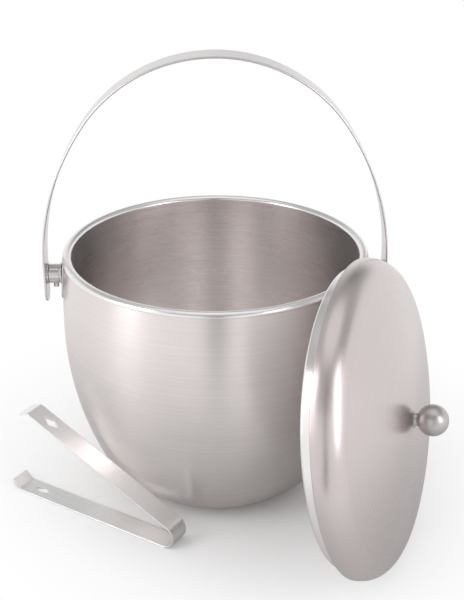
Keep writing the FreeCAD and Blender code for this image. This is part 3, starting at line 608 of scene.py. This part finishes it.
strap_steel = steel("strap_steel", (0.75, 0.73, 0.725), roughness=0.30, stretch=0.2, depth=0.002 * MM)
strap = skin("bail_strap_piece", *strap_grid(), close_rows=False, close_columns=True)
dress(strap, strap_steel, "bail", "strap", "bail_strap")
for word, sign in (("left", -1), ("right", 1)):
    lug = lug_place(sign)
    dress(lathe("pin_" + word, pivot_pin(), lug, 64), lug_steel, "bail", "lug", "pivot_pins")
    dress(lathe("washer_" + word, bail_washer(), lug, 96), lug_steel, "bail", "lug", "bail_washers")


# ---------------------------------------------------------------- lid
# The lid is a spun dome whose edge is folded back into a hem, with a shallow plug pan pressed in
# below. A satin ball knob on a short neck is held by a screw from inside.

lid_axis = Vector(joints["lid_lift"]["axis"]).normalized()
LID_RISE, LID_SIDE, LID_SHOULDER, LID_WALL = 32.0 * MM, 3.0 * MM, 16.0 * MM, 0.8 * MM
LID_RADIUS = LIP_RADIUS - 3.5 * MM
HEM_WALL = 1.8 * MM
KNOB_RADIUS, NECK_RADIUS, NECK_FLARE, NECK_HEIGHT = 10.0 * MM, 4.0 * MM, 5.5 * MM, 2.6 * MM
NECK_BEND, KNOB_HOLE_RADIUS, KNOB_HOLE_DEPTH = 1.9 * MM, 2.55 * MM, 9.0 * MM
BALL_CENTRE = LID_RISE + NECK_HEIGHT + np.sqrt(KNOB_RADIUS**2 - NECK_RADIUS**2)


def lid_place():
    """The lid's frame: Z along its axis, X to its lowest point, and the ball's centre in place."""
    low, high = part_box("knob_ball")
    sideways = Vector((0, 0, 1)).cross(lid_axis).normalized()
    axes = Matrix((sideways.cross(lid_axis), sideways, lid_axis)).transposed().to_4x4()
    axes.translation = (low + high) / 2 - lid_axis * BALL_CENTRE
    return axes


LID = lid_place()
dome_rise = LID_RISE - LID_SIDE
shoulder_out = LID_RADIUS - LID_SHOULDER
crown_radius = (dome_rise**2 + shoulder_out**2 - LID_SHOULDER**2) / (2 * (dome_rise - LID_SHOULDER))
crown_centre = np.array([0, LID_RISE - crown_radius])
shoulder_centre = np.array([shoulder_out, LID_SIDE])
dome_angle = np.degrees(np.arctan2(*(shoulder_centre - crown_centre)[::-1]))


def dome_wall(offset):
    """The dome from its upright side to the screw's hole, moved inwards."""
    hole = np.degrees(np.arccos(KNOB_HOLE_RADIUS / (crown_radius - offset)))
    return np.concatenate([
        arc(shoulder_centre, LID_SHOULDER - offset, 0, dome_angle, 22),
        arc(crown_centre, crown_radius - offset, dome_angle, hole, 40)[1:],
    ])


hem = arc((LID_RADIUS - HEM_WALL / 2, HEM_WALL / 2), HEM_WALL / 2, -180, 0, 13)
dome_profile = np.concatenate([
    hem, dome_wall(0), dome_wall(LID_WALL)[::-1], [[LID_RADIUS - HEM_WALL, LID_SIDE]]])
lid_steel = steel("lid_steel", (0.64, 0.58, 0.575), roughness=0.30, stretch=0.45, depth=0.0015 * MM,
                  streaks=0.03, wear=0.14)
dress(lathe("lid_dome_piece", dome_profile, LID), lid_steel, "lid", "lid", "lid_dome")

PLUG_RADIUS = LINER_RADIUS - 2.3 * MM
PLUG_DEPTH, PLUG_CORNER, PLUG_WALL = 8.0 * MM, 2.0 * MM, 0.6 * MM
flange_radius = LID_RADIUS - HEM_WALL - SEAT_GAP
pan_profile = np.concatenate([
    np.stack([np.linspace(0, PLUG_RADIUS - PLUG_CORNER, 24), np.full(24, -PLUG_DEPTH)], axis=-1),
    arc((PLUG_RADIUS - PLUG_CORNER, PLUG_CORNER - PLUG_DEPTH), PLUG_CORNER, -90, 0, 9)[1:],
    rounded([(PLUG_RADIUS, SEAT_GAP), (flange_radius, SEAT_GAP), (flange_radius, SEAT_GAP + PLUG_WALL),
             (PLUG_RADIUS - PLUG_WALL, SEAT_GAP + PLUG_WALL)], 0.12 * MM, 3),
    arc((PLUG_RADIUS - PLUG_CORNER, PLUG_CORNER - PLUG_DEPTH), PLUG_CORNER - PLUG_WALL, 0, -90, 9),
    [[0, PLUG_WALL - PLUG_DEPTH]],
])
pan_steel = steel("pan_steel", (0.84, 0.825, 0.82), roughness=0.18, stretch=0.4, depth=0.003 * MM)
dress(lathe("lid_pan_piece", pan_profile, LID), pan_steel, "lid", "lid", "lid_pan")

neck_top = LID_RISE + NECK_HEIGHT
ball_low = np.degrees(np.arcsin((neck_top - BALL_CENTRE) / KNOB_RADIUS))
ball_profile = np.concatenate([
    [[KNOB_HOLE_RADIUS, neck_top]],
    arc((0, BALL_CENTRE), KNOB_RADIUS, ball_low, 90, 48),
    [[0, neck_top + KNOB_HOLE_DEPTH], [KNOB_HOLE_RADIUS, neck_top + KNOB_HOLE_DEPTH]],
])
neck_bend = arc((NECK_RADIUS + NECK_BEND, LID_RISE + NECK_BEND), NECK_BEND, -90, -180, 9)
neck_profile = np.concatenate([
    [[KNOB_HOLE_RADIUS, LID_RISE], [NECK_FLARE, LID_RISE]],
    neck_bend[1:],
    [[NECK_RADIUS, neck_top], [KNOB_HOLE_RADIUS, neck_top]],
])
knob_steel = steel("knob_steel", (0.54, 0.51, 0.505), roughness=0.34, stretch=0.25, depth=0.002 * MM)
dress(lathe("knob_ball_piece", ball_profile, LID, 96), knob_steel, "lid", "knob", "knob_ball")
dress(lathe("knob_neck_piece", neck_profile, LID, 96), knob_steel, "lid", "knob", "knob_neck")
for node in ("knob_screw", "knob_washer"):
    keep(node, fastener_steel)


# ---------------------------------------------------------------- tongs
# The tongs are one sprung strip of steel, folded at the middle in a round bend, with turned-in
# claws and a diamond hole near each end. They are brushed along their length.

squeeze = joints["tongs_squeeze"]
ARM_WIDTH, ARM_WALL, BEND_RADIUS = 16.0 * MM, 1.0 * MM, 8.5 * MM
ARM_LENGTH, OPENING = 126.5 * MM, 24.0
CLAW_LENGTH, CLAW_ANGLE, CLAW_ROUND = 8.5 * MM, 42.0, 2.2 * MM
SLOT_BACK, SLOT_HALF_LENGTH, SLOT_HALF_WIDTH = 16.0 * MM, 6.4 * MM, 3.4 * MM
TIP_ROUND, EDGE_ROUND = 2.0 * MM, 0.4 * MM
BEND_ROWS, ARM_ROWS, SLOT_ROWS, TIP_ROWS = 40, 60, 24, 13
SQUEEZE_AXIS = np.array(Vector(squeeze["axis"]).normalized())
UPWARDS = np.array((0.0, 0.0, 1.0))
ARM_WAY = np.cross(SQUEEZE_AXIS, UPWARDS)
BEND_TOP = np.array(squeeze["pos_m"])
HALF_OPEN = np.radians(OPENING / 2)


def arm_path():
    """The strip's middle line from the middle of the bend to a tip, in the plane of the tongs with
    X on the line that halves the opening. The heading turns evenly on the bend and on the claw's
    fold and is constant between, and points are sums of short steps along it. The steps shorten
    towards the tip. Gives points, headings, lengths and the row of each end of the diamond hole."""
    bend = np.radians(90 - OPENING / 2)
    fold = np.radians(CLAW_ANGLE)
    trim = CLAW_ROUND * np.tan(fold / 2)
    before_slot = ARM_LENGTH - SLOT_BACK - SLOT_HALF_LENGTH
    after_slot = SLOT_BACK - SLOT_HALF_LENGTH - trim
    spans = [
        (BEND_RADIUS * bend, BEND_ROWS, 1 / BEND_RADIUS), (before_slot, ARM_ROWS, 0),
        (2 * SLOT_HALF_LENGTH, SLOT_ROWS, 0), (after_slot, 6, 0),
        (CLAW_ROUND * fold, 10, 1 / CLAW_ROUND), (CLAW_LENGTH - trim - TIP_ROUND, 6, 0),
    ]
    steps = np.concatenate([np.full(count, span / count) for span, count, _ in spans])
    rates = np.concatenate([np.full(count, rate) for _, count, rate in spans])
    tip = np.diff(TIP_ROUND * np.sin(np.linspace(0, np.pi / 2, TIP_ROWS + 1)))
    steps, rates = np.append(steps, tip), np.append(rates, np.zeros(TIP_ROWS))
    turned = np.cumsum(steps * rates)
    heading = turned - steps * rates / 2 - np.pi / 2
    point = np.concatenate([[[0, 0]], np.cumsum(np.stack(
        [np.cos(heading), np.sin(heading)], axis=-1) * steps[:, None], axis=0)])
    slot_rows = BEND_ROWS + ARM_ROWS, BEND_ROWS + ARM_ROWS + SLOT_ROWS
    return point, np.append(0, turned) - np.pi / 2, np.append(0, np.cumsum(steps)), slot_rows


def tongs_strip():
    """Both halves of the strip, each from the middle line or the hole's edge, over the rounded outer
    edge and back below, and the wall of each hole. Across the strip the flat part is shared evenly
    between the hole's edge and the rounded edge, which is a half ellipse. Near a tip the width ends
    in a quarter circle, and the thickness closes in a half round. The rows of each grid are in the
    order that turns its faces outwards."""
    point, heading, walk, (slot_start, slot_end) = arm_path()
    point = np.concatenate([(point * (1, -1))[::-1], point[1:]])
    heading = np.concatenate([-heading[::-1], heading[1:]])
    outwards = np.stack([np.sin(heading), -np.cos(heading)], axis=-1)
    middle = len(walk) - 1
    outwards[:middle] *= -1
    from_middle = np.concatenate([walk[::-1], walk[1:]])
    signed = np.concatenate([-walk[::-1], walk[1:]])
    from_tip = walk[-1] - from_middle
    slot_middle = (walk[slot_start] + walk[slot_end]) / 2
    hole = SLOT_HALF_WIDTH * np.clip(1 - np.abs(from_middle - slot_middle) / SLOT_HALF_LENGTH, 0, 1)
    short = np.clip(TIP_ROUND - from_tip, 0, None)
    half_width = ARM_WIDTH / 2 - TIP_ROUND + np.sqrt(TIP_ROUND**2 - short**2)
    thin = np.clip(1 - from_tip / (ARM_WALL / 2), 0, 1)
    half_wall = ARM_WALL / 2 * np.sqrt(1 - thin**2)
    share = np.linspace(0, 1, 9)
    turn = np.linspace(np.pi / 2, -np.pi / 2, 9)[1:-1]
    flat = hole[:, None] + (half_width - EDGE_ROUND - hole)[:, None] * share
    edge = (half_width - EDGE_ROUND)[:, None] + EDGE_ROUND * np.cos(turn)
    sideways = np.concatenate([flat, edge, flat[:, ::-1]], axis=1)
    level = np.concatenate([np.ones(9), np.sin(turn), -np.ones(9)])
    out = half_wall[:, None] * level
    bisector = np.cos(HALF_OPEN) * ARM_WAY + np.sin(HALF_OPEN) * UPWARDS
    upright = np.cos(HALF_OPEN) * UPWARDS - np.sin(HALF_OPEN) * ARM_WAY

    def in_place(sideways, out, rows):
        flat_place = point[rows, None] + outwards[rows, None] * out[..., None]
        place = flat_place[..., :1] * bisector + flat_place[..., 1:] * upright
        return BEND_TOP + place + sideways[..., None] * SQUEEZE_AXIS

    parts = []
    every = np.arange(len(point))
    for sign in (1, -1):
        grid = in_place(sign * sideways, out, every)
        across = np.broadcast_to(np.arange(sideways.shape[1]) * MM, sideways.shape)
        along = np.broadcast_to(signed[:, None], sideways.shape)
        grain = np.stack([along, out, sign * sideways], axis=-1)
        order = slice(None, None, sign)
        parts.append(tuple(part[order] for part in (grid, grain, along, across)))
        for rows in (np.arange(middle - slot_end, middle - slot_start + 1),
                     np.arange(middle + slot_start, middle + slot_end + 1)):
            wall_side = np.repeat(sign * hole[rows, None], 3, axis=1)
            wall_out = half_wall[rows, None] * np.array([[1.0, 0.0, -1.0]])
            grid = in_place(wall_side, wall_out, rows)
            along = np.broadcast_to(signed[rows, None], wall_side.shape)
            grain = np.stack([along, wall_out, wall_side], axis=-1)
            order = slice(None, None, -sign)
            parts.append(tuple(part[order] for part in (grid, grain, along, wall_out)))
    return parts


def joined(name, parts):
    """One piece from several grids that meet: their meshes are joined and their shared edges merged."""
    whole = bmesh.new()
    for number, part in enumerate(parts):
        piece = skin(name + str(number), *part, close_rows=False, close_columns=False)
        whole.from_mesh(piece.data)
        bpy.data.objects.remove(piece)
    mesh = bpy.data.meshes.new(name)
    whole.to_mesh(mesh)
    whole.free()
    return finish_mesh(name, mesh)


tongs_steel = steel("tongs_steel", (0.90, 0.90, 0.895), roughness=0.40, stretch=0.4, depth=0.006 * MM)
tongs = joined("tongs_strip", tongs_strip())
tongs.data.materials.append(tongs_steel)
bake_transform(tongs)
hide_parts("tongs_lower_arm", "tongs_upper_arm")


# ---------------------------------------------------------------- studio
# A plain white floor and surround with two tall soft lamps, one on each side in front. What the
# metal mirrors is shaped: a narrow darker gap between the lamps, a darker ring under the ceiling's
# light, and a darker area high up behind. Near the bucket the floor is painted a darker grey for the
# metal's reflections only, a painted shade that darkens the bowl's lower side. The bare surround
# lights everything evenly.

GAP_LIGHT, GAP_SHARE, GAP_START = 0.2, (0.05, 0.16), (0.35, 0.75)
FLOOR_HALF, FLOOR_DROP = 6.0, 0.05 * MM
# The second floor colour is painted shade: the grey that the metal mirrors in the floor near the bucket.
FLOOR_WHITE, FLOOR_PAINTED_SHADE = (0.96, 0.96, 0.96, 1), (0.58, 0.58, 0.58, 1)
SHADOW_FADE, MIRROR_FADE = (0.07, 0.28), (0.10, 0.5)
RING_RISE, RING_LIGHT, CEILING_RISE = (0.42, 0.62), 0.5, (0.78, 0.95)
BEHIND_WAY, BEHIND_RISE, BEHIND_SIDE, BEHIND_LOSS = (0.5, 0.8), (0.24, 0.40), (-0.1, 0.25), (0.15, 0.6)
AMBIENT = 0.9
LAMP_SIZE = (0.45, 1.1)
LENS, SENSOR = 66.43, 36.0
VIEW_TURN, VIEW_TILT, VIEW_DISTANCE = np.radians(1.5), np.radians(25.55), 0.78
TARGET_ASIDE, TARGET_HEIGHT = 11.39 * MM, 135.01 * MM


def step_between(tree, value, span, before, after):
    """A smooth step from one level to another, over a span of the value."""
    ramp = tree.nodes.new("ShaderNodeMapRange")
    ramp.interpolation_type = "SMOOTHSTEP"
    levels = {"From Min": span[0], "From Max": span[1], "To Min": before, "To Max": after}
    for label, level in levels.items():
        ramp.inputs[label].default_value = level
    tree.links.new(value, ramp.inputs["Value"])
    return ramp.outputs[0]


def gap_group():
    """How much light comes from a direction or a place on the floor: less in a narrow wedge towards
    -Y. The wedge is read from the share of X in the distance towards -Y, and starts some way out."""
    group = new_group("gap_between_lamps", [("Direction", "NodeSocketVector")],
                      [("Light", "NodeSocketFloat")])
    start = group.nodes.new("NodeGroupInput")
    end = group.nodes.new("NodeGroupOutput")
    split = group.nodes.new("ShaderNodeSeparateXYZ")
    group.links.new(start.outputs["Direction"], split.inputs[0])
    ahead = math(group, "MAXIMUM", math(group, "MULTIPLY", split.outputs["Y"], -1.0), 0.001)
    share = math(group, "DIVIDE", math(group, "ABSOLUTE", split.outputs["X"]), ahead)
    wedge = step_between(group, share, GAP_SHARE, 1.0 - GAP_LIGHT, 0.0)
    away = step_between(group, ahead, GAP_START, 0.0, 1.0)
    dark = math(group, "MULTIPLY", wedge, away)
    group.links.new(math(group, "SUBTRACT", 1.0, dark), end.inputs["Light"])
    return group


GAP = gap_group()

floor_mesh = bpy.data.meshes.new("floor")
floor_mesh.from_pydata([(-FLOOR_HALF, -FLOOR_HALF, 0), (FLOOR_HALF, -FLOOR_HALF, 0),
                        (FLOOR_HALF, FLOOR_HALF, 0), (-FLOOR_HALF, FLOOR_HALF, 0)], [], [(0, 1, 2, 3)])
floor = bpy.data.objects.new("floor", floor_mesh)
floor.location.z = -FLOOR_DROP
bpy.context.scene.collection.objects.link(floor)
floor_paint = bpy.data.materials.new("floor_paint")
floor_paint.use_nodes = True
paint = floor_paint.node_tree.nodes["Principled BSDF"]
paint.inputs["Roughness"].default_value = 0.9
paint.inputs["Specular IOR Level"].default_value = 0.1
tree = floor_paint.node_tree
place = tree.nodes.new("ShaderNodeTexCoord")
distance = tree.nodes.new("ShaderNodeVectorMath")
distance.operation = "LENGTH"
tree.links.new(place.outputs["Object"], distance.inputs[0])
path = tree.nodes.new("ShaderNodeLightPath")
direct = math(tree, "MAXIMUM", path.outputs["Is Camera Ray"], path.outputs["Is Transmission Ray"])
shadow_fade = step_between(tree, distance.outputs["Value"], SHADOW_FADE, 0.0, 1.0)
white_seen = math(tree, "MULTIPLY", shadow_fade, direct)
mirror_fade = step_between(tree, distance.outputs["Value"], MIRROR_FADE, 0.0, 1.0)
white_mirrored = math(tree, "MULTIPLY", mirror_fade, path.outputs["Is Glossy Ray"])
white = tree.nodes.new("ShaderNodeEmission")
gap = tree.nodes.new("ShaderNodeGroup")
gap.node_tree = GAP
tree.links.new(place.outputs["Object"], gap.inputs["Direction"])
glow = math(tree, "MAXIMUM", gap.outputs["Light"], direct)
tree.links.new(glow, white.inputs["Strength"])
# Painted shade: glossy rays see the floor painted a darker grey near the bucket, so the bowl's lower side
# mirrors shade; camera and diffuse rays see it white.
shade_for_mirrors = tree.nodes.new("ShaderNodeMix")
shade_for_mirrors.data_type = "RGBA"
shade_for_mirrors.inputs["A"].default_value = FLOOR_WHITE
shade_for_mirrors.inputs["B"].default_value = FLOOR_PAINTED_SHADE
tree.links.new(path.outputs["Is Glossy Ray"], shade_for_mirrors.inputs["Factor"])
tree.links.new(shade_for_mirrors.outputs["Result"], paint.inputs["Base Color"])
fade = tree.nodes.new("ShaderNodeMixShader")
tree.links.new(math(tree, "MAXIMUM", white_seen, white_mirrored), fade.inputs["Fac"])
tree.links.new(paint.outputs[0], fade.inputs[1])
tree.links.new(white.outputs[0], fade.inputs[2])
tree.links.new(fade.outputs[0], tree.nodes["Material Output"].inputs["Surface"])
floor_mesh.materials.append(floor_paint)

world = bpy.data.worlds.new("surround")
bpy.context.scene.world = world
world.use_nodes = True
tree = world.node_tree
sky = tree.nodes["Background"]
sky.inputs["Color"].default_value = (1, 1, 1, 1)
path = tree.nodes.new("ShaderNodeLightPath")
direct = math(tree, "MAXIMUM", path.outputs["Is Camera Ray"], path.outputs["Is Transmission Ray"])
direction = tree.nodes.new("ShaderNodeTexCoord")
parts = tree.nodes.new("ShaderNodeSeparateXYZ")
tree.links.new(direction.outputs["Generated"], parts.inputs[0])
wall = step_between(tree, parts.outputs["Z"], RING_RISE, 1.0, RING_LIGHT)
ceiling = step_between(tree, parts.outputs["Z"], CEILING_RISE, 0.0, 1.0)
behind = step_between(tree, parts.outputs["Y"], BEHIND_WAY, 0.0, 1.0)
raised = step_between(tree, parts.outputs["Z"], BEHIND_RISE, 0.0, 1.0)
loss = step_between(tree, parts.outputs["X"], BEHIND_SIDE, *BEHIND_LOSS)
dimmed = math(tree, "MULTIPLY", math(tree, "MULTIPLY", behind, raised), loss)
wall = math(tree, "MULTIPLY", wall, math(tree, "SUBTRACT", 1.0, dimmed))
gap = tree.nodes.new("ShaderNodeGroup")
gap.node_tree = GAP
tree.links.new(direction.outputs["Generated"], gap.inputs["Direction"])
surround = math(tree, "MULTIPLY", math(tree, "MAXIMUM", wall, ceiling), gap.outputs["Light"])
mirrored = math(tree, "MULTIPLY", path.outputs["Is Glossy Ray"], surround)
shown = math(tree, "MAXIMUM", mirrored, direct)
seen = math(tree, "MAXIMUM", direct, path.outputs["Is Glossy Ray"])
plain = math(tree, "MULTIPLY", math(tree, "SUBTRACT", 1.0, seen), AMBIENT)
tree.links.new(math(tree, "MAXIMUM", shown, plain), sky.inputs["Strength"])


def soft_lamp(name, place, power):
    """A tall rectangular soft lamp that points at the middle of the bowl."""
    aim = Vector((0, 0, 0.12))
    lamp = bpy.data.lights.new(name, "AREA")
    lamp.shape = "RECTANGLE"
    lamp.size, lamp.size_y = LAMP_SIZE
    lamp.energy = power
    holder = bpy.data.objects.new(name, lamp)
    bpy.context.scene.collection.objects.link(holder)
    holder.location = place
    holder.rotation_euler = (aim - Vector(place)).to_track_quat("-Z", "Y").to_euler()


soft_lamp("key_lamp", (-1.18, -0.60, 0.75), 5.8)
soft_lamp("fill_lamp", (1.10, -0.95, 0.75), 4.5)

camera_data = bpy.data.cameras.new("camera")
camera = bpy.data.objects.new("camera", camera_data)
bpy.context.scene.collection.objects.link(camera)
bpy.context.scene.camera = camera
camera_data.lens = LENS
camera_data.sensor_width = SENSOR
target = Vector((TARGET_ASIDE * np.cos(VIEW_TURN), -TARGET_ASIDE * np.sin(VIEW_TURN), TARGET_HEIGHT))
level = np.cos(VIEW_TILT)
back = Vector((-np.sin(VIEW_TURN) * level, -np.cos(VIEW_TURN) * level, np.sin(VIEW_TILT)))
camera.location = target + back * VIEW_DISTANCE
camera.rotation_euler = (-back).to_track_quat("-Z", "Y").to_euler()
camera_data.clip_start, camera_data.clip_end = 0.01, 50.0
bpy.context.scene.view_settings.view_transform = "Standard"
